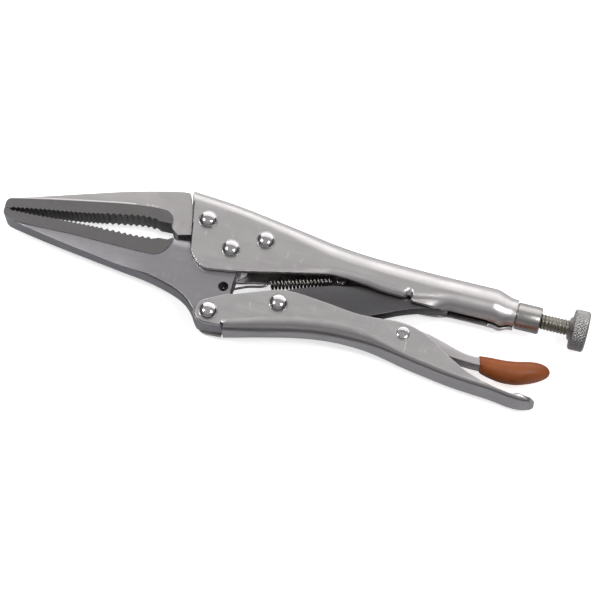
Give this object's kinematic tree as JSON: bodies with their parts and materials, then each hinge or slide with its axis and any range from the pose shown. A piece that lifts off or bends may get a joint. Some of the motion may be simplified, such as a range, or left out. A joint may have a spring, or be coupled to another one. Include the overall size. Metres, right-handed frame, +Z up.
{
  "type": "locking pliers",
  "caption": "Long-nose locking pliers with toothed jaws, pressed-steel handles, toggle link, release lever with dipped grip, tension spring and knurled adjusting screw, lying on its side.",
  "frame": {"origin": "middle of the footprint of the tool lying on its side, on the surface it rests on", "axes": "+X along the adjusting screw towards its knob, +Y in the jaws' plane from the lower handle towards the upper handle, +Z up through the tool's thickness"},
  "size_m": [0.2256, 0.0526, 0.0192],
  "materials": {
    "satin_nickel": "satin nickel plate",
    "jaw_steel": "satin nickel plate over forged steel",
    "bright_steel": "polished",
    "dark_steel": "semi-bright",
    "screw_steel": "oiled thread",
    "orange_vinyl": "dipped, semi-gloss"
  },
  "bodies": {
    "upper_handle_body": {"upper_handle": "satin_nickel", "fixed_jaw": "jaw_steel", "fixed_jaw_front_rivet": "bright_steel", "fixed_jaw_rear_rivet": "bright_steel", "jaw_pivot_rivet": "bright_steel", "adjuster_nut": "bright_steel", "tension_spring": "dark_steel"},
    "lower_jaw_body": {"lower_jaw": "jaw_steel"},
    "lower_handle_body": {"lower_handle": "satin_nickel", "handle_hinge_rivet": "bright_steel", "link_rivet": "bright_steel", "lever_pin": "bright_steel"},
    "toggle_link_body": {"toggle_link": "dark_steel"},
    "release_lever_body": {"release_lever": "satin_nickel", "release_lever_grip": "orange_vinyl"},
    "screw_body": {"adjusting_screw": "screw_steel"},
    "knob_body": {"adjusting_knob": "jaw_steel"}
  },
  "joints": [
    {"name": "jaw_pivot", "type": "hinge", "parent": "upper_handle_body", "child": "lower_jaw_body", "pos_m": [-0.02425, 0.00558, 0.0096], "axis": [0, 0, 1], "range_deg": [0, 24.1], "deforming": ["tension_spring"]},
    {"name": "lower_handle_pivot", "type": "hinge", "parent": "lower_jaw_body", "child": "lower_handle_body", "pos_m": [-0.02595, -0.02062, 0.0096], "axis": [0, 0, 1], "range_deg": [-74.5, 0]},
    {"name": "link_pivot", "type": "hinge", "parent": "lower_handle_body", "child": "toggle_link_body", "pos_m": [-0.00135, -0.01112, 0.0096], "axis": [0, 0, 1], "range_deg": [0, 74.1]},
    {"name": "release_lever_pivot", "type": "hinge", "parent": "lower_handle_body", "child": "release_lever_body", "pos_m": [0.04645, -0.01112, 0.0096], "axis": [0, 0, 1], "range_deg": [-6, 0]},
    {"name": "screw_travel", "type": "slide", "parent": "upper_handle_body", "child": "screw_body", "axis": [1, 0, 0], "range_m": [0, 0.0051]},
    {"name": "screw_turn", "type": "hinge", "parent": "screw_body", "child": "knob_body", "pos_m": [0.11275, 0.00908, 0.0096], "axis": [1, 0, 0], "range_deg": [0, 1440]}
  ],
  "couplings": [
    {"joint": "jaw_pivot", "follows": "lower_handle_pivot", "ratio": -0.32215},
    {"joint": "link_pivot", "follows": "lower_handle_pivot", "ratio": -0.99329},
    {"joint": "screw_travel", "follows": "screw_turn", "m_per_rad": 0.00019894}
  ]
}
